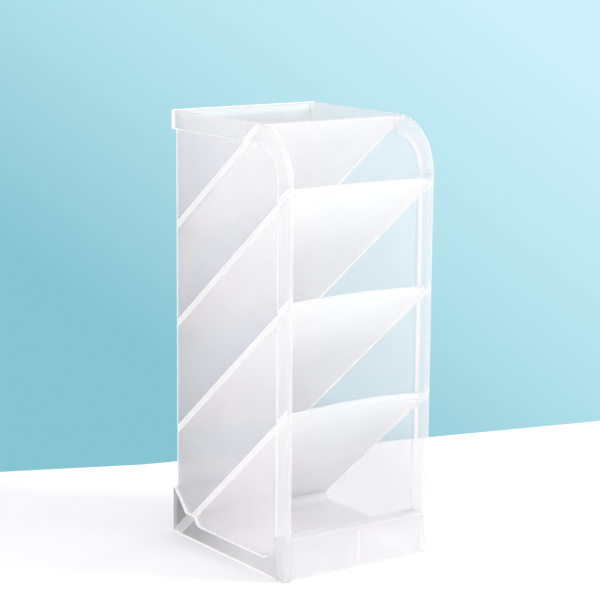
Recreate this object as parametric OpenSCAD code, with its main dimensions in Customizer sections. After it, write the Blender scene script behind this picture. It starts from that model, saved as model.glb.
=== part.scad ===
/* [Overall size] */
// Width across the raised frames of the two side walls
width = 80; // [74:1:90]
// Depth from the front face to the back of the rim
depth = 95; // [93:1:99]
// Height from the table to the top rim
height = 203; // [200:1:212]

/* [Walls] */
// Thickness of the thin wall panels, floors and skirts
wall = 1.5; // [1.2:0.1:1.8]
// How far the frame, rims and skirts stand out from the panels
proud = 1.5; // [1.2:0.1:1.8]
// Width of the raised frame along the front, the arch and the top
frame_w = 9; // [8:0.5:10]
// Outer radius of the arch at the top front corner
arch_r = 25; // [22:1:28]
// Radius at the bottom front corner of each side wall
toe_r = 2; // [1:0.5:3]

/* [Dividers] */
// Thickness of a divider
divider_t = 2.4; // [2:0.1:2.6]
// Slope of the lowest divider, up towards the front, in degrees
slope = 40.2; // [39.5:0.1:41]
// How much shallower each divider above slopes, in degrees
slope_step = 0.9; // [0.5:0.1:1]
// Height of the lowest divider's middle plane at the front face
first_h = 77.8; // [77:0.1:79]
// Height from one divider to the next at the front face
pitch = 48.9; // [47:0.1:50]
// Height from the third divider's plane to the top divider's plane
top_pitch = 44.5; // [43.5:0.1:46]
// How far the lowest divider's front edge is set back beside the walls
crown_max = 2.8; // [2.2:0.1:4]
// How much less each divider above is set back
crown_step = 1; // [0.5:0.1:1]
// Gap from the top divider's edge to the top of the rim
top_edge_gap = 0.5; // [0.3:0.1:1]

/* [Rim flare] */
// Height of the sloped lead-in inside the top rim
flare_h = 4; // [3:0.5:5]
// Width of the sloped lead-in
flare_w = 2; // [1.5:0.1:2.2]

/* [Base] */
// Height of the compartment floor's upper face
floor_h = 8; // [7.5:0.1:8.5]
// Gap under the front skirt
front_gap = 0.5; // [0.3:0.1:1]
// Radius where the floor curves up to the front lip
toe_curve_r = 12; // [10:0.5:12]
// Height of the back skirt
back_skirt_h = 22.5; // [22:0.5:24]
// Height of the level part of the rear floor
rear_floor_h = 12; // [11.5:0.1:12.5]
// Length of the sloped part of the rear floor, front to back
rear_slope_l = 10; // [9:0.5:11]
// Radius of the fillet between the floor and the lowest divider
foot_r = 4.5; // [4:0.1:4.8]
// Width of the ribs in the heel of the base
heel_w = 5; // [4:0.5:5.5]
// Height of the low corner of the web behind the front skirt
gusset_z = 7.5; // [5:0.5:9]

/* [Hidden] */
$fn = 96;

// Planes across the width, measured from the middle
side_out = width / 2;
side_panel = side_out - proud;
side_in = side_panel - wall;

// Planes along the depth, measured back from the front face
back_out = depth;
back_panel = back_out - proud;
back_in = back_panel - wall;

// Heights
rim_z = height - frame_w;
arch_z = height - arch_r;
lip_h = floor_h + toe_curve_r;
floor_under = floor_h - wall;
rear_under = rear_floor_h - wall;

// The lowest divider's fall per unit of depth
rise = tan(slope);

// The rear floor: where its level part ends, its pitch, and its thickness measured straight up
rear_bend = back_panel - rear_slope_l;
rear_rise = (back_skirt_h - rear_floor_h) / rear_slope_l;
rear_t = wall * sqrt(1 + rear_rise * rear_rise);

// The lowest divider's foot
foot_front = depth_under(0, rear_under);
foot_back = depth_over(0, rear_under);
foot_x = foot_front - 2.4;
foot_top = rear_under + rise * (foot_front - foot_x);

// Frosted polypropylene
milky = [0.92, 0.94, 0.97, 0.6];
clear = [0.86, 0.90, 0.95, 0.45];

// Divider k counts up from 0, the lowest, to 3, the top one. Its slope, the height of its middle
// plane at the front face, and the height of half its thickness measured straight up
function slope_of(k) = slope - k * slope_step;
function height_of(k) = first_h + k * pitch + (k == 3 ? top_pitch - pitch : 0);
function half_of(k) = divider_t / 2 / cos(slope_of(k));

// Depth at which the underside of divider k reaches height z, and the same for its upper face
function depth_under(k, z) = (height_of(k) - half_of(k) - z) / tan(slope_of(k));
function depth_over(k, z) = (height_of(k) + half_of(k) - z) / tan(slope_of(k));

// Draws a side-view shape (depth from the front face, height) as a plate from x0 to x1
module plate(x0, x1) {
    translate([x0, -depth / 2, 0])
        rotate([90, 0, 90])
            linear_extrude(height = x1 - x0) children();
}

// Mirrors a right-hand piece to the left
module on_left() {
    mirror([1, 0, 0]) children();
}

// The material outside a rounded corner at point p; s points from the corner into the shape
module corner(p, r, s) {
    translate(p) difference() {
        translate([s[0] > 0 ? -1 : -r, s[1] > 0 ? -1 : -r]) square(r + 1);
        translate([s[0] * r, s[1] * r]) circle(r);
    }
}

// Side view of everything inside the raised frame
module panel_outline() {
    difference() {
        translate([frame_w, floor_h]) square([back_panel - frame_w, rim_z - floor_h]);
        corner([frame_w, rim_z], arch_r - frame_w, [1, -1]);
        corner([frame_w, floor_h], toe_curve_r, [1, 1]);
        corner([foot_x, floor_h], foot_r, [-1, 1]);
        polygon([[foot_x, 0], [foot_x, rear_floor_h], [rear_bend, rear_floor_h],
                 [back_panel + 1, back_skirt_h + rear_rise], [back_panel + 1, 0]]);
    }
}

// Side view of the base below the panels
module skirt_outline() {
    difference() {
        translate([frame_w, 0]) square([back_out - frame_w, back_skirt_h]);
        panel_outline();
    }
}

// Side view of the lowest divider's foot, with its fillet
module foot_outline() {
    difference() {
        polygon([[foot_x - foot_r, floor_under], [foot_back, floor_under], [foot_back, rear_under],
                 [foot_front, rear_under], [foot_x, foot_top],
                 [foot_x - foot_r, foot_top]]);
        translate([foot_x - foot_r, floor_h + foot_r]) circle(foot_r);
        translate([foot_x - foot_r - 1, floor_h + foot_r]) square([foot_r + 1, foot_r]);
    }
}

// Side view of the rear floor, level beside the divider and then sloping up to the back wall
module rear_floor_outline() {
    polygon([[depth_over(0, rear_floor_h), rear_floor_h], [rear_bend, rear_floor_h],
             [back_panel, back_skirt_h], [back_panel, back_skirt_h - rear_t],
             [rear_bend + (rear_t - wall) / rear_rise, rear_under], [foot_back, rear_under]]);
}

// Side view of divider k, cut off at the depths and heights of its two ends
module divider_outline(k, low_z, high_z) {
    h = height_of(k);
    fall = tan(slope_of(k)) * back_in;
    intersection() {
        polygon([[0, h - half_of(k)], [0, h + half_of(k)],
                 [back_in, h + half_of(k) - fall], [back_in, h - half_of(k) - fall]]);
        translate([0, low_z]) square([back_in, high_z - low_z]);
    }
}

// Divider k, whose front edge bows forward in the middle
module divider(k, low_z) {
    crown = crown_max - k * crown_step;
    bow_r = (side_in * side_in + crown * crown) / (2 * crown);
    intersection() {
        plate(-side_in, side_in) divider_outline(k, low_z, height);
        translate([0, bow_r - depth / 2, 0]) cylinder(h = height, r = bow_r, $fn = 360);
    }
}

// The funnel-shaped space inside the top rim, behind the top divider
module flare() {
    over = 1;
    run = flare_w * (flare_h + over) / flare_h;
    low = height - flare_h;
    intersection() {
        plate(-width, width)
            polygon([[depth_over(3, low), low], [back_in, low], [back_in + run, height + over],
                     [depth_over(3, height + over), height + over]]);
        rotate([90, 0, 0]) linear_extrude(height = 2 * depth, center = true)
            polygon([[-side_in, low], [side_in, low],
                     [side_in + run, height + over], [-side_in - run, height + over]]);
    }
}

module wall_panel() {
    color(milky) plate(side_in, side_panel) panel_outline();
}

module front_post() {
    color(milky) plate(side_in, side_out) difference() {
        square([frame_w, arch_z]);
        corner([0, 0], toe_r, [1, 1]);
    }
}

module arch_rail() {
    color(milky) plate(side_in, side_out) intersection() {
        translate([arch_r, arch_z]) difference() {
            circle(arch_r);
            circle(arch_r - frame_w);
        }
        translate([0, arch_z]) square(arch_r);
    }
}

module top_rail() {
    color(milky) difference() {
        plate(side_in, side_out) translate([arch_r, rim_z]) square([back_in - arch_r, frame_w]);
        flare();
    }
}

module base_skirt() {
    color(clear) plate(side_panel, side_out) skirt_outline();
}

// A strip on the inside of the skirt that carries the lowest divider's line down to the heel
module heel_rib() {
    top = rear_floor_h;
    span = heel_w / cos(slope);
    color(milky) plate(side_in, side_panel) difference() {
        intersection() {
            polygon([[foot_back, top], [back_panel, top - rise * (back_panel - foot_back)],
                     [back_panel, top - span - rise * (back_panel - foot_back)], [foot_back, top - span]]);
            square([back_panel, floor_under]);
        }
        foot_outline();
    }
}

module left_wall_panel() { on_left() wall_panel(); }
module right_wall_panel() { wall_panel(); }
module left_front_post() { on_left() front_post(); }
module right_front_post() { front_post(); }
module left_arch_rail() { on_left() arch_rail(); }
module right_arch_rail() { arch_rail(); }
module left_top_rail() { on_left() top_rail(); }
module right_top_rail() { top_rail(); }
module left_base_skirt() { on_left() base_skirt(); }
module right_base_skirt() { base_skirt(); }
module left_heel_rib() { on_left() heel_rib(); }
module right_heel_rib() { heel_rib(); }

module back_wall() {
    color(milky) plate(-side_in, side_in)
        polygon([[back_in, back_skirt_h - rear_rise * wall], [back_panel, back_skirt_h],
                 [back_panel, rim_z], [back_in, rim_z]]);
}

module back_top_rail() {
    color(milky) difference() {
        plate(-side_out, side_out) translate([back_in, rim_z]) square([back_out - back_in, frame_w]);
        flare();
    }
}

module back_base_skirt() {
    color(clear) plate(-side_panel, side_panel)
        translate([back_panel, 0]) square([proud, back_skirt_h]);
}

module front_base_skirt() {
    color(clear) plate(-side_in, side_in)
        translate([0, front_gap]) square([wall, lip_h - wall - front_gap]);
}

module front_lip() {
    color(milky) plate(-side_in, side_in)
        translate([0, lip_h - wall]) square([frame_w, wall]);
}

// The floor's quarter-round rise to the lip, notched at its ends for the front posts
module floor_front_curve() {
    color(milky) difference() {
        plate(-side_panel, side_panel) intersection() {
            translate([frame_w + toe_curve_r, lip_h]) difference() {
                circle(toe_curve_r + wall);
                circle(toe_curve_r);
            }
            square([frame_w + toe_curve_r, lip_h - wall]);
        }
        plate(side_in, side_out) square([frame_w, lip_h]);
        plate(-side_out, -side_in) square([frame_w, lip_h]);
    }
}

module compartment_floor() {
    color(milky) plate(-side_panel, side_panel)
        translate([frame_w + toe_curve_r, floor_under])
            square([foot_x - foot_r - frame_w - toe_curve_r, wall]);
}

module divider_foot() {
    color(milky) plate(-side_panel, side_panel) foot_outline();
}

module rear_floor() {
    color(milky) plate(-side_panel, side_panel) rear_floor_outline();
}

module lower_divider() {
    color(milky) divider(0, rear_under);
}

module middle_divider() {
    color(milky) divider(1, 0);
}

module upper_divider() {
    color(milky) divider(2, 0);
}

module top_divider() {
    color(milky) plate(-side_in, side_in)
        divider_outline(3, 0, height - top_edge_gap);
}

// A thin web that props the lip from inside the front skirt
module front_gusset() {
    color(milky) plate(-wall / 2, wall / 2) difference() {
        polygon([[wall, gusset_z], [wall, lip_h - wall], [frame_w, lip_h - wall],
                 [frame_w, gusset_z + frame_w - wall]]);
        translate([frame_w + toe_curve_r, lip_h]) circle(toe_curve_r + wall);
    }
}

left_wall_panel();
right_wall_panel();
back_wall();
left_front_post();
right_front_post();
left_arch_rail();
right_arch_rail();
left_top_rail();
right_top_rail();
back_top_rail();
left_base_skirt();
right_base_skirt();
back_base_skirt();
front_base_skirt();
front_lip();
floor_front_curve();
compartment_floor();
divider_foot();
rear_floor();
lower_divider();
middle_divider();
upper_divider();
top_divider();
left_heel_rib();
right_heel_rib();
front_gusset();
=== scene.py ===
"""The look of the desk organizer: one frosted polypropylene moulding, built on the CAD frame."""

import math

import bmesh
import bpy
from mathutils import Matrix, Vector
from mathutils.bvhtree import BVHTree


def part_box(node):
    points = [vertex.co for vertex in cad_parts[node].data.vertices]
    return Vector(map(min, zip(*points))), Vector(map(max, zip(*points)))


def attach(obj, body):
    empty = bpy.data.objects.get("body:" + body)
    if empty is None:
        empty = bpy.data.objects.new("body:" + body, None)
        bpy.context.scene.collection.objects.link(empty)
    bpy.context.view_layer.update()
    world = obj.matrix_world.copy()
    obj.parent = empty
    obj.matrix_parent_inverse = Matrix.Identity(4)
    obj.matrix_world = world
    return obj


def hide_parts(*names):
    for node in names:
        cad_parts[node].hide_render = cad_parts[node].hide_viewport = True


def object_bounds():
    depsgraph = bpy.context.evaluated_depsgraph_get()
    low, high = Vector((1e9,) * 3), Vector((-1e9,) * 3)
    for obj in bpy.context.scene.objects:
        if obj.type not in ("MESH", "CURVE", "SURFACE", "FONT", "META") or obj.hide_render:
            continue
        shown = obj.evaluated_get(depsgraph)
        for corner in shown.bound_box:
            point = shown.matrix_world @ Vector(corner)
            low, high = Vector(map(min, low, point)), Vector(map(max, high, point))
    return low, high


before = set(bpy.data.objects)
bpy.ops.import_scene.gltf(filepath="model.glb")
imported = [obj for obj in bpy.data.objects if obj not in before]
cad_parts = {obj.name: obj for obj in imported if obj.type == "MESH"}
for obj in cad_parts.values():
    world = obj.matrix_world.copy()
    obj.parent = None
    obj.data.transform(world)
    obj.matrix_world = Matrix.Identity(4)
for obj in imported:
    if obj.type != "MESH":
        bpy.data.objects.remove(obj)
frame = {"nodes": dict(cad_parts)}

CAD_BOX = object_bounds()
MM = 0.001
# Two directions count as the same if their dot product is above this.
SQUARE_ON = 0.9

# ---------------------------------------------------------------- sizes read from the CAD frame
LOW, HIGH = CAD_BOX
FRONT, BACK = LOW.y, HIGH.y
PANEL_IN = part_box("right_wall_panel")[0].x
PANEL_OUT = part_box("right_wall_panel")[1].x
BACK_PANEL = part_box("back_wall")[1].y
PANEL_LOW, PANEL_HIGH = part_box("right_wall_panel")
DIVIDER_T = 2.4 * MM
FILLET = 0.5 * MM


# ---------------------------------------------------------------- the dividers' planes
class Slope:
    """A divider's middle plane: its height at the front face and its fall towards the back."""

    def __init__(self, node, degrees, set_back):
        low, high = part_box(node)
        self.node, self.angle, self.set_back = node, math.radians(degrees), set_back
        self.rise = math.tan(self.angle)
        self.half = DIVIDER_T / 2 / math.cos(self.angle)
        self.low, self.high = low, high
        self.height = high.z - self.half
        if not set_back:
            self.height = low.z + self.half + self.rise * (high.y - FRONT)
        self.normal = Vector((0, math.sin(self.angle), math.cos(self.angle)))
        self.origin = Vector((0, FRONT, self.height))

    def off_plane(self, point):
        return (point - self.origin).dot(self.normal)

    def cuts(self, *offsets):
        return [(self.origin + self.normal * o, self.normal) for o in offsets]


SLOPES = [
    Slope("lower_divider", 40.2, 2.8 * MM),
    Slope("middle_divider", 39.3, 1.8 * MM),
    Slope("upper_divider", 38.4, 0.8 * MM),
    Slope("top_divider", 37.5, 0),
]
# Half the width of the light band that a divider makes on a wall, with and without its bright sides; the
# band and, on the left and back, its sides take painted glow.
GLOW_BAND = DIVIDER_T / 2 + 0.35 * MM
GLOW_CORE = DIVIDER_T / 2 + 0.05 * MM


# ---------------------------------------------------------------- the compartments' painted light and shade
# Heights are taken at the front face and carried along the slope. The painted light and shade spans CELL_LOW
# to CELL_TOP.
CELL_ANGLE = math.radians(39)
CELL_LOW, CELL_TOP = -0.04, 0.26
# Painted shade close over the floor and painted light above the top divider, as (height, colour).
FLOOR_PAINTED_SHADE = (8 * MM, (0.92, 0.915, 0.93))
TOP_PAINTED_LIGHT = (30 * MM, (1.04, 1.04, 1.06))
# Painted light that grows in the higher compartments.
CELL_LIGHT_GAINS = (0.96, 1.0, 1.03, 1.12)
# Each compartment's painted tones by height from its divider: darker and cool deep below it, light and warm
# close under it where light gathers, painted shade just above it.
CELL_PAINTED_TONES = (
    (-26 * MM, (0.95, 0.945, 0.97)),
    (-3 * MM, (1.02, 1.0, 0.985)),
    (2 * MM, (0.86, 0.86, 0.90)),
)


def cell_stops():
    """The painted light and shade of each compartment through the wall: light and warm under its divider,
    darker and cool further down.
    """
    def level_of(z):
        return z + math.tan(CELL_ANGLE) * FRONT
    floor_height, floor_painted_shade = FLOOR_PAINTED_SHADE
    stops = [(level_of(floor_height), floor_painted_shade)]
    for slope, gain in zip(SLOPES, CELL_LIGHT_GAINS):
        for rise, painted_tone in CELL_PAINTED_TONES:
            stops.append((level_of(slope.height + rise), tuple(gain * c for c in painted_tone)))
    top_rise, top_painted_light = TOP_PAINTED_LIGHT
    stops.append((level_of(SLOPES[-1].height + top_rise), top_painted_light))
    return stops


# ---------------------------------------------------------------- materials
def shade_ramp(nt, coords, along, start, end, stops):
    """A ramp of painted light and shade over object space: stops are (place, grey or colour) from start to
    end along a direction.
    """
    dot = nt.nodes.new("ShaderNodeVectorMath")
    dot.operation = "DOT_PRODUCT"
    nt.links.new(coords.outputs["Object"], dot.inputs[0])
    dot.inputs[1].default_value = along
    reach = nt.nodes.new("ShaderNodeMapRange")
    reach.inputs["From Min"].default_value = start
    reach.inputs["From Max"].default_value = end
    nt.links.new(dot.outputs["Value"], reach.inputs["Value"])
    ramp = nt.nodes.new("ShaderNodeValToRGB")
    nt.links.new(reach.outputs["Result"], ramp.inputs["Fac"])
    knots = ramp.color_ramp.elements
    for i, (place, value) in enumerate(stops):
        knot = knots[i] if i < 2 else knots.new(1.0)
        knot.position = (place - start) / (end - start)
        knot.color = (*(value if isinstance(value, tuple) else (value,) * 3), 1)
    return ramp.outputs["Color"]


def times(nt, one, other):
    """The product of two colours."""
    mix = nt.nodes.new("ShaderNodeMix")
    mix.data_type, mix.blend_type = "RGBA", "MULTIPLY"
    mix.inputs["Factor"].default_value = 1
    nt.links.new(one, mix.inputs["A"])
    nt.links.new(other, mix.inputs["B"])
    return mix.outputs["Result"]


CLOUD_SCALE, GRAIN_SCALE = 55, 1400
SATIN = (0.34, 0.46)
GRAIN_STRENGTH, GRAIN_DEPTH = 0.12, 0.05 * MM
# The colour of the painted glow: emission that stands in for light coming through the plastic.
WARM_GLOW = (1.0, 0.985, 0.97, 1)
SOAK_DEPTH = 4 * MM


def frosted(name, alpha, light, dark, glow=0.0, shades=()):
    """Translucent frosted polypropylene: cloudy colour, a satin grain, light that soaks through, a painted
    glow that stands in for light from elsewhere, and ramps of painted light and shade.
    """
    mat = bpy.data.materials.new(name)
    mat.use_nodes = True
    nt = mat.node_tree
    shader = nt.nodes["Principled BSDF"]
    coords = nt.nodes.new("ShaderNodeTexCoord")

    clouds = nt.nodes.new("ShaderNodeTexNoise")
    clouds.inputs["Scale"].default_value = CLOUD_SCALE
    clouds.inputs["Detail"].default_value = 4
    clouds.inputs["Roughness"].default_value = 0.55
    clouds.inputs["Distortion"].default_value = 0.6
    nt.links.new(coords.outputs["Object"], clouds.inputs["Vector"])
    ramp = nt.nodes.new("ShaderNodeValToRGB")
    ramp.color_ramp.elements[0].position = 0.3
    ramp.color_ramp.elements[0].color = (*dark, 1)
    ramp.color_ramp.elements[1].position = 0.7
    ramp.color_ramp.elements[1].color = (*light, 1)
    nt.links.new(clouds.outputs["Fac"], ramp.inputs["Fac"])
    colour = ramp.outputs["Color"]
    for shade in shades:
        colour = times(nt, colour, shade_ramp(nt, coords, *shade))
    nt.links.new(colour, shader.inputs["Base Color"])

    fine = nt.nodes.new("ShaderNodeTexNoise")
    fine.inputs["Scale"].default_value = GRAIN_SCALE
    fine.inputs["Detail"].default_value = 3
    nt.links.new(coords.outputs["Object"], fine.inputs["Vector"])
    satin = nt.nodes.new("ShaderNodeMapRange")
    satin.inputs["From Min"].default_value = 0.3
    satin.inputs["From Max"].default_value = 0.7
    satin.inputs["To Min"].default_value, satin.inputs["To Max"].default_value = SATIN
    nt.links.new(fine.outputs["Fac"], satin.inputs["Value"])
    nt.links.new(satin.outputs["Result"], shader.inputs["Roughness"])
    bump = nt.nodes.new("ShaderNodeBump")
    bump.inputs["Strength"].default_value = GRAIN_STRENGTH
    bump.inputs["Distance"].default_value = GRAIN_DEPTH
    nt.links.new(fine.outputs["Fac"], bump.inputs["Height"])
    nt.links.new(bump.outputs["Normal"], shader.inputs["Normal"])

    shader.inputs["Alpha"].default_value = alpha
    # Painted glow: emission in place of light that comes from elsewhere.
    shader.inputs["Emission Color"].default_value = WARM_GLOW
    shader.inputs["Emission Strength"].default_value = glow
    shader.inputs["IOR"].default_value = 1.49
    shader.inputs["Specular IOR Level"].default_value = 0.4
    shader.inputs["Subsurface Weight"].default_value = 1.0
    shader.inputs["Subsurface Radius"].default_value = (1.0, 1.0, 1.0)
    shader.inputs["Subsurface Scale"].default_value = SOAK_DEPTH
    return mat


# Light and dark cloud colours of the one white plastic; the greyer pairs are its painted shade in the looks
# that use them.
WHITE, COOL = (0.95, 0.945, 0.95), (0.90, 0.895, 0.915)
PEARL, GREY = (0.90, 0.895, 0.905), (0.84, 0.84, 0.85)
BRIGHT, CREAM = (0.985, 0.985, 0.985), (0.965, 0.96, 0.955)
ICE, ICE_DEEP = (0.975, 0.99, 1.0), (0.955, 0.975, 0.99)
MIST, MIST_DEEP = (0.84, 0.86, 0.89), (0.80, 0.82, 0.85)
CHALK, CHALK_DEEP = (0.855, 0.85, 0.86), (0.79, 0.79, 0.80)
SLATE, SLATE_DEEP = (0.79, 0.79, 0.80), (0.74, 0.74, 0.75)
DUSK, DIM, ASH = (0.78, 0.78, 0.79), (0.70, 0.70, 0.715), (0.80, 0.80, 0.81)


def towards_back(*stops):
    """A painted shade that changes from the front face to the back."""
    return (Vector((0, 1, 0)), FRONT, BACK, stops)


# DEEP_SHADE: painted shade at the front of the right wall, lighter deeper in where the divider tops throw
# light. LOW_SHADE: painted shade low down. CELL_SHADE: the compartments' painted light and shade.
# Painted light and shade, multiplied into the colour. REAR_SHADE: painted light at the front, painted shade
# towards the back. SKIRT_SHADE: painted shade, darkest towards the back of the hollow base.
REAR_SHADE = towards_back((FRONT, 1.08), (0.0, 0.96), (BACK, 0.74))
SKIRT_SHADE = towards_back((FRONT, 0.78), (-16 * MM, 0.96), (24 * MM, 0.57), (BACK, 0.34))
DEEP_SHADE = towards_back((FRONT, 0.93), (-12 * MM, 0.93), (16 * MM, 1.0), (BACK, 1.0))
LOW_SHADE = (Vector((0, 0, 1)), 0.0, 0.2, ((40 * MM, 0.82), (54 * MM, 0.86), (62 * MM, 1.0), (0.2, 1.0)))
CELL_SHADE = (Vector((0, math.tan(CELL_ANGLE), 1)), CELL_LOW, CELL_TOP, tuple(cell_stops()))

# One plastic in lit and shaded copies by where it is: how opaque, its colour in light and dark clouds, how
# much painted glow stands in for light that comes through it from elsewhere, and the painted shade it takes.
LOOKS = {
    # Painted shade, darker towards the back and through each compartment.
    "sheet": frosted("frosted_sheet", 0.42, WHITE, COOL, shades=(REAR_SHADE, CELL_SHADE)),
    # Painted glow, with painted shade low down and towards the front.
    "clear": frosted("frosted_clear", 0.38, ICE, ICE_DEEP, glow=0.075, shades=(LOW_SHADE, DEEP_SHADE)),
    # A greyer copy for the right side's outer faces, which face the light, with painted shade low down.
    "outer": frosted("frosted_outer", 0.38, MIST, MIST_DEEP, shades=(LOW_SHADE,)),
    # Painted shade, dark towards the back of the hollow base.
    "skirt": frosted("frosted_skirt", 0.42, WHITE, COOL, shades=(SKIRT_SHADE,)),
    # A greyer copy: painted shade on the back.
    "back": frosted("frosted_back", 0.60, DUSK, DIM),
    # Painted glow on the floors and dividers, most on the top divider.
    "floor": frosted("frosted_floor", 0.80, BRIGHT, WHITE, glow=0.03),
    "divider": frosted("frosted_divider", 0.60, BRIGHT, WHITE, glow=0.035),
    "lid": frosted("frosted_lid", 0.60, WHITE, PEARL, glow=0.07),
    # A grey copy where the heel rib stands behind the skirt, without the skirt's painted shade.
    "heel": frosted("frosted_heel", 0.55, PEARL, GREY),
    # A greyer copy: painted shade on the front faces.
    "apron": frosted("frosted_apron", 0.50, CHALK, CHALK_DEEP),
    "shade": frosted("frosted_shade", 0.60, WHITE, PEARL),
    "rail": frosted("frosted_rail", 0.48, WHITE, WHITE),
    # Painted glow on the arches.
    "arch": frosted("frosted_arch", 0.56, BRIGHT, WHITE, glow=0.025),
    # A greyer copy: painted shade on the frame's outward faces.
    "brow": frosted("frosted_brow", 0.45, SLATE, SLATE_DEEP),
    # A greyer copy: painted shade on the divider noses; also where the web stands behind the front skirt.
    "nose": frosted("frosted_nose", 0.55, GREY, ASH),
    # The real band where a divider meets a wall, brightened with painted glow.
    "band_glow": frosted("frosted_band_glow", 0.80, BRIGHT, CREAM, glow=0.10),
    # Painted glow: a painted highlight along the edges.
    "edge": frosted("frosted_edge", 0.92, BRIGHT, CREAM, glow=0.16),
    "joint": frosted("frosted_joint", 0.0, WHITE, COOL),
}
ORDER = list(LOOKS)


# ---------------------------------------------------------------- what touches what
SKEW_WAY = Vector((0.577, 0.611, 0.542)).normalized()
MOST_HITS = 64
STEP_PAST = 0.001 * MM
TOUCH = 0.1 * MM


class Solids:
    """The CAD solids, to ask whether a point lies in a neighbour."""

    def __init__(self, nodes):
        self.trees = {}
        for name, obj in nodes.items():
            bm = bmesh.new()
            bm.from_mesh(obj.data)
            self.trees[name] = (BVHTree.FromBMesh(bm), *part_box(name))
            bm.free()

    def holds(self, name, point):
        tree, low, high = self.trees[name]
        if any(point[i] < low[i] or point[i] > high[i] for i in range(3)):
            return False
        way, hits, start = SKEW_WAY, 0, point.copy()
        while hits < MOST_HITS:
            spot = tree.ray_cast(start, way)[0]
            if spot is None:
                break
            hits += 1
            start = spot + way * STEP_PAST
        return hits % 2 == 1

    def covered(self, own, point):
        return any(self.holds(n, point) for n in self.trees if n != own)


SOLIDS = Solids(frame["nodes"])


def face_covered(own, face):
    """True if another CAD solid lies against the whole of this face."""
    middle = face.calc_center_median()
    spots = [middle] + [middle.lerp(v.co, 0.8) for v in face.verts]
    return all(SOLIDS.covered(own, p + face.normal * TOUCH) for p in spots)


def edge_free(own, edge):
    """True if nothing lies against either side of this edge."""
    middle = (edge.verts[0].co + edge.verts[1].co) / 2
    along = (edge.verts[1].co - edge.verts[0].co).normalized()
    for face in edge.link_faces:
        inward = face.normal.cross(along)
        if inward.dot(face.calc_center_median() - middle) < 0:
            inward = -inward
        if SOLIDS.covered(own, middle + inward * 2 * TOUCH + face.normal * TOUCH):
            return False
    return True


SHARP, ROUNDED, FLAT = math.radians(42), math.radians(30), math.radians(0.6)
DRAW_BACK = 0.03 * MM
SAME = 0.001 * MM


def finish_piece(name, bm, nodes):
    """Turns the mesh into a named object that rides on the frame in the place of its CAD nodes."""
    mesh = bpy.data.meshes.new(name)
    bm.to_mesh(mesh)
    bm.free()
    for look in ORDER:
        mesh.materials.append(LOOKS[look])
    for polygon in mesh.polygons:
        polygon.use_smooth = True
    mesh.set_sharp_from_angle(angle=SHARP)
    obj = bpy.data.objects.new(name, mesh)
    bpy.context.scene.collection.objects.link(obj)
    weighted = obj.modifiers.new("flat faces", "WEIGHTED_NORMAL")
    weighted.keep_sharp = True
    weighted.weight = 80
    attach(obj, "root")
    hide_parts(*nodes)
    return obj


def soften(bm, own, radius, tone, clamp):
    """Rounds the free sharp edges. tone(face) names the look of each face, and the rounding of a face in the
    glowing edge look takes that painted glow too. Covered faces turn clear and draw back a little, so that
    no two faces coincide."""
    plain = bm.edges.layers.int.new("plain")
    for face in bm.faces:
        face.material_index = ORDER.index(tone(face))
    covered = [f for f in bm.faces if face_covered(own, f)]
    for face in covered:
        face.material_index = ORDER.index("joint")
    sharp = [
        e for e in bm.edges
        if len(e.link_faces) == 2 and e.calc_face_angle(0) > ROUNDED and e.is_convex
        and not any(f in covered for f in e.link_faces) and edge_free(own, e)
    ]
    shifts = {}
    for face in covered:
        for v in face.verts:
            known = shifts.setdefault(v, [])
            if all(face.normal.dot(n) < SQUARE_ON for n in known):
                known.append(face.normal.copy())
    for v, normals in shifts.items():
        for n in normals:
            v.co -= n * DRAW_BACK
    # Edges beside faces in the glowing edge look are rounded in that look, so the painted glow runs round
    # the corner.
    edge_look = ORDER.index("edge")
    bright = [e for e in sharp if any(f.material_index == edge_look for f in e.link_faces)]
    for e in sharp:
        e[plain] = e not in bright
    for group, look in ((bright, edge_look), (None, -1)):
        if group is None:
            group = [e for e in bm.edges if e[plain] and e.calc_face_angle(0) > ROUNDED]
        if group:
            bmesh.ops.bevel(
                bm, geom=group, offset=radius, offset_type="OFFSET", segments=3, profile=0.5,
                affect="EDGES", clamp_overlap=clamp, material=look)
    bmesh.ops.recalc_face_normals(bm, faces=bm.faces)


def slice_mesh(bm, cuts):
    """Cuts every face where it crosses a plane."""
    for point, normal in cuts:
        bmesh.ops.bisect_plane(
            bm, geom=bm.verts[:] + bm.edges[:] + bm.faces[:], plane_co=point, plane_no=normal, dist=SAME)


def from_cad(node, tone, radius=0.4 * MM, cuts=(), clamp=False, merge=SAME, marks=None):
    """A rounded copy of a CAD solid. cuts split faces where a neighbour begins. marks is (axis, cuts,
    look_of): what lies behind the outer face on that axis and shows through it, the divider bands with
    painted glow."""
    bm = bmesh.new()
    bm.from_mesh(frame["nodes"][node].data)
    bmesh.ops.remove_doubles(bm, verts=bm.verts, dist=SAME)
    bmesh.ops.dissolve_limit(bm, angle_limit=FLAT, verts=bm.verts, edges=bm.edges, delimit=set())
    bmesh.ops.remove_doubles(bm, verts=bm.verts, dist=merge)
    slice_mesh(bm, cuts)
    bmesh.ops.recalc_face_normals(bm, faces=bm.faces)
    soften(bm, node, radius, tone, clamp)
    if marks is not None:
        axis, mark_cuts, look_of = marks
        slice_mesh(bm, mark_cuts)
        for face in bm.faces:
            spot = face.calc_center_median()
            outer = abs(spot[axis]) > (PANEL_OUT if axis == 0 else BACK_PANEL) - TOUCH
            if outer and abs(face.normal[axis]) > SQUARE_ON and face.normal[axis] * spot[axis] > 0:
                face.material_index = ORDER.index(look_of(spot) or ORDER[face.material_index])
    return finish_piece(node + "_moulding", bm, [node])


def by_normal(axis, broad, narrow):
    """Broad faces look along an axis; the rest are the plate's thin edges."""
    def tone(face):
        return broad if abs(face.normal[axis]) > SQUARE_ON else narrow
    return tone


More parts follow.
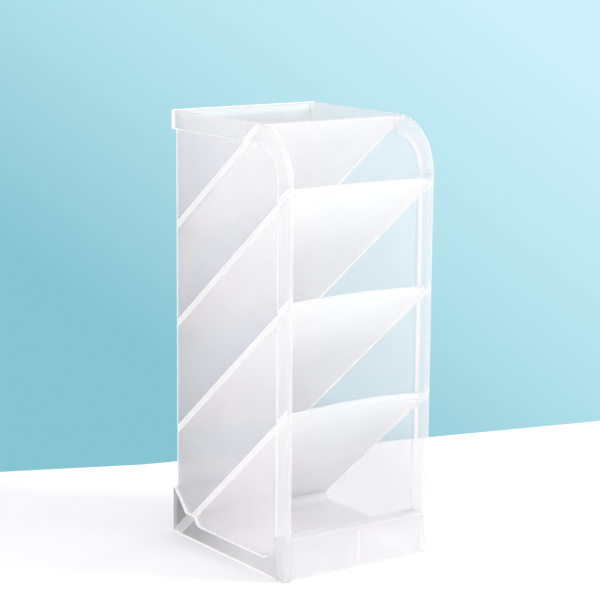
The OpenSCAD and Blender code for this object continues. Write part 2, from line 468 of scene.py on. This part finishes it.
def band_glow_mark(spot):
    """The light band where a divider runs in behind this point of an outer face, in a look with painted
    glow. On the left and the back, the edge look's painted glow along the two sides of that band."""
    for slope in SLOPES:
        off = abs(slope.off_plane(spot))
        if off < GLOW_BAND and slope.low.z < spot.z < slope.high.z + 1 * MM:
            if off < GLOW_CORE:
                return "band_glow"
            return "edge" if spot.x < PANEL_IN else None
    return None


RIB_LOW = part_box("left_heel_rib")[0]
RIB_W = 5 * MM
RIB_TOP = Vector((0, RIB_LOW.y, 12 * MM))
RIB_FLOOR = RIB_TOP - SLOPES[0].normal * RIB_W
RIB_CUTS = [(RIB_TOP, SLOPES[0].normal), (RIB_FLOOR, SLOPES[0].normal)]


def ribbed(spot):
    """The strip of the skirt with the heel rib behind it."""
    below = (spot - RIB_TOP).dot(SLOPES[0].normal) < 0
    above = (spot - RIB_FLOOR).dot(SLOPES[0].normal) > 0
    return "heel" if below and above and spot.y > RIB_LOW.y - 1 * MM else None


CORNER = 0.9 * MM


def wall_tone(face):
    """The left wall takes the painted shade of the compartments; the right one faces the light."""
    if abs(face.normal.x) < SQUARE_ON:
        return "edge"
    spot = face.calc_center_median()
    if abs(spot.x) > PANEL_OUT - TOUCH and spot.y > BACK_PANEL - CORNER:
        return "edge"
    if spot.x < 0:
        return "sheet"
    return "outer" if face.normal.x > 0 else "clear"


def frame_tone(face, broad="rail"):
    """The raised frame: its step down to the panel has a painted glow, and its outward faces a painted
    shade.
    """
    spot = face.calc_center_median()
    if abs(face.normal.x) > 0.6:
        return "outer" if face.normal.x > SQUARE_ON and spot.x > PANEL_OUT else broad
    inward = (PANEL_LOW + PANEL_HIGH) / 2 - spot
    inward.x = 0
    if face.normal.dot(inward) <= 0:
        return "brow"
    return "edge" if abs(spot.x) > PANEL_OUT - TOUCH else "rail"


def arch_tone(face):
    """The arches take more painted glow than the straight frame."""
    return frame_tone(face, "arch")


def top_tone(face):
    """The left rim takes the same painted shade as the panel below it."""
    in_shade = face.normal.x < -SQUARE_ON and face.calc_center_median().x < -PANEL_OUT
    return "sheet" if in_shade else frame_tone(face)


def skirt_tone(face):
    """The left skirt's side takes painted shade and the right one's is in the light."""
    if abs(face.normal.x) < SQUARE_ON:
        return "edge"
    if face.calc_center_median().x < 0:
        return "skirt"
    return "outer" if face.normal.x > 0 else "clear"


def rim_tone(face):
    """The back of the rim: its flat sides take the back's painted shade, its flared inner face the plain
    frame look, and its other faces the edges' painted glow.
    """
    if abs(face.normal.y) > 0.95:
        return "back"
    return "rail" if face.normal.y < -0.5 else "edge"


def back_skirt_tone(face):
    """Dim inside the hollow base and, outside, as pale as the back wall: painted shade on both."""
    if abs(face.normal.y) < SQUARE_ON:
        return "edge"
    return "back" if face.normal.y > 0 else "skirt"


def mark_web(spot):
    """The front skirt is lighter where the web stands behind it."""
    return "nose" if WEB_LOW.x < spot.x < WEB_HIGH.x else None


WEB_LOW, WEB_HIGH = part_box("front_gusset")
WEB_CUTS = [(WEB_LOW, Vector((1, 0, 0))), (WEB_HIGH, Vector((1, 0, 0)))]
X_CUTS = [(Vector((s * x, 0, 0)), Vector((1, 0, 0))) for s in (-1, 1) for x in (PANEL_IN, PANEL_OUT)]
BACK_CUT = (Vector((0, BACK_PANEL, 0)), Vector((0, 1, 0)))
CORNER_CUT = (Vector((0, BACK_PANEL - CORNER, 0)), Vector((0, 1, 0)))
LIP_CUT = (Vector((0, 0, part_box("front_lip")[1].z)), Vector((0, 0, 1)))
BANDS = [c for slope in SLOPES for c in slope.cuts(-GLOW_BAND, -GLOW_CORE, GLOW_CORE, GLOW_BAND)]
WALL_MARKS, BACK_MARKS = (0, BANDS, band_glow_mark), (1, BANDS, band_glow_mark)

for side in ("left", "right"):
    from_cad(f"{side}_wall_panel", wall_tone, cuts=[CORNER_CUT], clamp=True, marks=WALL_MARKS)
    from_cad(f"{side}_front_post", frame_tone, 0.8 * MM, cuts=[*X_CUTS, LIP_CUT], marks=WALL_MARKS)
    from_cad(f"{side}_arch_rail", arch_tone, 0.8 * MM, cuts=[*X_CUTS, LIP_CUT], marks=WALL_MARKS)
    from_cad(f"{side}_top_rail", top_tone, cuts=X_CUTS, clamp=True, marks=WALL_MARKS)
    from_cad(
        f"{side}_base_skirt", skirt_tone, 0.55 * MM, cuts=[BACK_CUT], merge=0.52 * MM,
        marks=(0, RIB_CUTS, ribbed) if side == "left" else None)
    from_cad(f"{side}_heel_rib", by_normal(0, "band_glow", "band_glow"), 0.2 * MM)
from_cad("back_wall", by_normal(1, "back", "edge"), clamp=True, marks=BACK_MARKS)
from_cad("back_top_rail", rim_tone, cuts=[*X_CUTS, BACK_CUT], clamp=True)
from_cad("back_base_skirt", back_skirt_tone, 0.6 * MM)
from_cad("front_base_skirt", by_normal(1, "apron", "edge"), marks=(1, WEB_CUTS, mark_web))
from_cad("front_lip", by_normal(2, "apron", "apron"), 0.5 * MM)
from_cad("floor_front_curve", by_normal(0, "edge", "apron"))
from_cad("compartment_floor", by_normal(2, "floor", "edge"))
from_cad("divider_foot", by_normal(0, "edge", "floor"))
from_cad("rear_floor", by_normal(0, "edge", "floor"))
from_cad("front_gusset", by_normal(0, "sheet", "edge"), radius=0.2 * MM)


# ---------------------------------------------------------------- the four sloping dividers
NOSE_R = 0.6 * MM
NOSE_STEPS, FILLET_STEPS, BOW_STEPS = 4, 6, 28
SHY = 0.05 * MM


def rounded(before, corner, after):
    """Points of a smooth curve that cuts the corner off."""
    a = corner + (before - corner).normalized() * NOSE_R
    b = corner + (after - corner).normalized() * NOSE_R
    turns = [k / NOSE_STEPS for k in range(NOSE_STEPS + 1)]
    return [a * (1 - t) ** 2 + corner * (2 * t * (1 - t)) + b * t ** 2 for t in turns]


def divider(slope, tone="divider", top_cut=None, low_cut=None):
    """A sloping sheet with a bowed, rounded front edge, filleted where it runs into the side walls.
    top_cut and low_cut are the heights at which a level face ends it instead."""
    crown, plane_h, rise = slope.set_back, slope.height, slope.rise
    reach = slope.high.x - SHY
    bow_r = (reach * reach + crown * crown) / (2 * crown) if crown else 0
    inner = reach - FILLET
    profile = []
    for k in range(FILLET_STEPS + 1):
        turn = math.radians(-90 + 90 * k / FILLET_STEPS)
        profile.append((inner + FILLET * math.cos(turn), DIVIDER_T / 2 + FILLET + FILLET * math.sin(turn)))
    across = [(-x, n) for x, n in reversed(profile)]
    across += [(-inner + 2 * inner * k / BOW_STEPS, DIVIDER_T / 2) for k in range(1, BOW_STEPS)]
    across += profile

    def section(x, n):
        set_back = bow_r - math.sqrt(bow_r * bow_r - x * x) if crown else 0.0
        ends = []
        for lift in (n / math.cos(slope.angle), -n / math.cos(slope.angle)):
            start, end = set_back, slope.high.y - SHY - FRONT
            if top_cut is not None:
                start = (plane_h + lift - top_cut) / rise
            if low_cut is not None:
                end = (plane_h + lift - low_cut) / rise
            ends.append([Vector((x, FRONT + d, plane_h + lift - rise * d)) for d in (start, end)])
        (front_top, back_top), (front_low, back_low) = ends
        return [
            back_top, *rounded(back_top, front_top, front_low),
            *rounded(front_top, front_low, back_low), back_low]

    bm = bmesh.new()
    rows = [[bm.verts.new(p) for p in section(x, n)] for x, n in across]
    # The noses take grey painted shade; the back end, the caps and, on the left, the faces by the wall take
    # the band's painted glow.
    looks = [tone] + ["nose"] * (NOSE_STEPS + 1) + ["rail"] * NOSE_STEPS + [tone, "band_glow"]
    for a, b in zip(rows, rows[1:]):
        at_wall = abs((a[0].co.x + b[0].co.x) / 2) > inner
        for i, look in enumerate(looks):
            j = (i + 1) % len(looks)
            face = bm.faces.new((a[i], a[j], b[j], b[i]))
            face.material_index = ORDER.index("band_glow" if at_wall and look == tone and a[0].co.x < 0 else look)
    for cap in (rows[0], rows[-1]):
        bm.faces.new(cap).material_index = ORDER.index("band_glow")
    bmesh.ops.recalc_face_normals(bm, faces=bm.faces)
    return finish_piece(slope.node + "_moulding", bm, [slope.node])


# The lowest divider takes painted shade, the top one a stronger painted glow, and the middle two the divider
# look's painted glow.
divider(SLOPES[0], "shade", low_cut=SLOPES[0].low.z)
divider(SLOPES[1])
divider(SLOPES[2])
divider(SLOPES[3], "lid", top_cut=SLOPES[3].high.z)


# ---------------------------------------------------------------- camera
CENTRE = (LOW + HIGH) / 2
AZIMUTH, PITCH, ROLL = 0.6185, 0.1913, 0.0083
DISTANCE = 0.92806
LENS, SENSOR = 119.96, 36
AIM = CENTRE + Vector((0, -0.75 * MM, 0))
SIDESTEP, LIFT = -0.34 * MM, 15.04 * MM

ahead = Vector((math.sin(AZIMUTH) * math.cos(PITCH), math.cos(AZIMUTH) * math.cos(PITCH), -math.sin(PITCH)))
level = Vector((math.cos(AZIMUTH), -math.sin(AZIMUTH), 0))
upright = level.cross(ahead)


def studio_camera():
    """Looks at the front left corner from a little above, with a slight roll."""
    right = level * math.cos(ROLL) + upright * math.sin(ROLL)
    up = upright * math.cos(ROLL) - level * math.sin(ROLL)
    eye = AIM - ahead * DISTANCE + level * SIDESTEP + upright * LIFT
    data = bpy.data.cameras.new("camera")
    data.sensor_width = SENSOR
    data.lens = LENS
    data.clip_start, data.clip_end = 0.05, 20
    obj = bpy.data.objects.new("camera", data)
    obj.matrix_world = Matrix((
        (right.x, up.x, -ahead.x, eye.x),
        (right.y, up.y, -ahead.y, eye.y),
        (right.z, up.z, -ahead.z, eye.z),
        (0, 0, 0, 1)))
    bpy.context.scene.collection.objects.link(obj)
    bpy.context.scene.camera = obj


studio_camera()


# ---------------------------------------------------------------- table, light and air
TABLE_BEND = Vector((0.0084, 0.1565, 0))
TABLE_REACH = 2.4
LEFT_RUN, RIGHT_RUN = 0.417, -0.249
TABLE_WHITE = (0.97, 0.97, 0.965, 1)
TABLE_ROUGHNESS, TABLE_SHINE, TABLE_GLOW = 0.6, 0.2, 0.09


def table_top():
    """A pale, plain table whose far edge passes close behind the object."""
    left_end = TABLE_BEND + Vector((-TABLE_REACH, TABLE_REACH * LEFT_RUN, 0))
    right_end = TABLE_BEND + Vector((TABLE_REACH, TABLE_REACH * RIGHT_RUN, 0))
    near = [(-TABLE_REACH, -TABLE_REACH, 0), (TABLE_REACH, -TABLE_REACH, 0)]
    corners = [*near, tuple(right_end), tuple(TABLE_BEND), tuple(left_end)]
    mesh = bpy.data.meshes.new("table")
    mesh.from_pydata(corners, [], [tuple(range(5))])
    obj = bpy.data.objects.new("table", mesh)
    bpy.context.scene.collection.objects.link(obj)
    mat = bpy.data.materials.new("table_white")
    mat.use_nodes = True
    shader = mat.node_tree.nodes["Principled BSDF"]
    shader.inputs["Base Color"].default_value = TABLE_WHITE
    shader.inputs["Roughness"].default_value = TABLE_ROUGHNESS
    shader.inputs["Specular IOR Level"].default_value = TABLE_SHINE
    shader.inputs["Emission Color"].default_value = (1, 1, 1, 1)
    shader.inputs["Emission Strength"].default_value = TABLE_GLOW
    mesh.materials.append(mat)


table_top()


def area_light(name, place, aim, size, power, colour):
    """A round soft lamp that points at aim."""
    data = bpy.data.lights.new(name, "AREA")
    data.shape = "DISK"
    data.size = size
    data.energy = power
    data.color = colour
    obj = bpy.data.objects.new(name, data)
    obj.location = place
    obj.rotation_mode = "QUATERNION"
    obj.rotation_quaternion = (Vector(aim) - Vector(place)).to_track_quat("-Z", "Y")
    bpy.context.scene.collection.objects.link(obj)


area_light("key", place=(0.75, -0.75, 0.75), aim=CENTRE, size=0.3, power=5.5, colour=(1.0, 0.99, 0.98))
BRIGHT_SIDE = Vector((0.55, -0.75, 0.35)).normalized()
STUDIO_RANGE = (0.69, 1.06)
STUDIO_TINT = (0.985, 0.975, 1.0, 1)
BACKDROP = ((0.245, 0.555, 0.650, 1), (0.456, 0.760, 0.840, 1), (0.624, 0.879, 0.965, 1))
BACKDROP_RUN = level * 2.4 + Vector((0, 0, 3.3))
BACKDROP_START = 0.887


def facing(nt, coords, way):
    """How far the ray leans towards a direction."""
    dot = nt.nodes.new("ShaderNodeVectorMath")
    dot.operation = "DOT_PRODUCT"
    nt.links.new(coords.outputs["Generated"], dot.inputs[0])
    dot.inputs[1].default_value = way
    return dot.outputs["Value"]


def backdrop(nt, coords):
    """The blue wall behind the table, paler to the upper right."""
    offset = nt.nodes.new("ShaderNodeMath")
    offset.operation = "ADD"
    offset.inputs[1].default_value = BACKDROP_START
    nt.links.new(facing(nt, coords, BACKDROP_RUN), offset.inputs[0])
    sky = nt.nodes.new("ShaderNodeValToRGB")
    dark, middle, pale = BACKDROP
    sky.color_ramp.elements[0].color = dark
    sky.color_ramp.elements[1].color = pale
    sky.color_ramp.elements.new(0.5).color = middle
    nt.links.new(offset.outputs[0], sky.inputs["Fac"])
    seen = nt.nodes.new("ShaderNodeBackground")
    nt.links.new(sky.outputs["Color"], seen.inputs["Color"])
    return seen.outputs["Background"]


def soft_room(nt, coords):
    """The light of a white room, brighter on one side."""
    studio = nt.nodes.new("ShaderNodeMapRange")
    studio.inputs["From Min"].default_value = -0.8
    studio.inputs["From Max"].default_value = 0.8
    studio.inputs["To Min"].default_value, studio.inputs["To Max"].default_value = STUDIO_RANGE
    nt.links.new(facing(nt, coords, BRIGHT_SIDE), studio.inputs["Value"])
    lamp = nt.nodes.new("ShaderNodeBackground")
    lamp.inputs["Color"].default_value = STUDIO_TINT
    nt.links.new(studio.outputs["Result"], lamp.inputs["Strength"])
    return lamp.outputs["Background"]


def studio_air():
    """The camera sees the backdrop, and everything else is lit by the room."""
    world = bpy.data.worlds.new("studio")
    bpy.context.scene.world = world
    world.use_nodes = True
    nt = world.node_tree
    nt.nodes.clear()
    coords = nt.nodes.new("ShaderNodeTexCoord")
    path = nt.nodes.new("ShaderNodeLightPath")
    mix = nt.nodes.new("ShaderNodeMixShader")
    nt.links.new(path.outputs["Is Camera Ray"], mix.inputs["Fac"])
    nt.links.new(backdrop(nt, coords), mix.inputs[2])
    nt.links.new(soft_room(nt, coords), mix.inputs[1])
    out = nt.nodes.new("ShaderNodeOutputWorld")
    nt.links.new(mix.outputs["Shader"], out.inputs["Surface"])


studio_air()

scene = bpy.context.scene
scene.view_settings.view_transform = "Standard"
scene.cycles.transparent_max_bounces = 64
scene.cycles.max_bounces = 10
scene.cycles.diffuse_bounces = 8
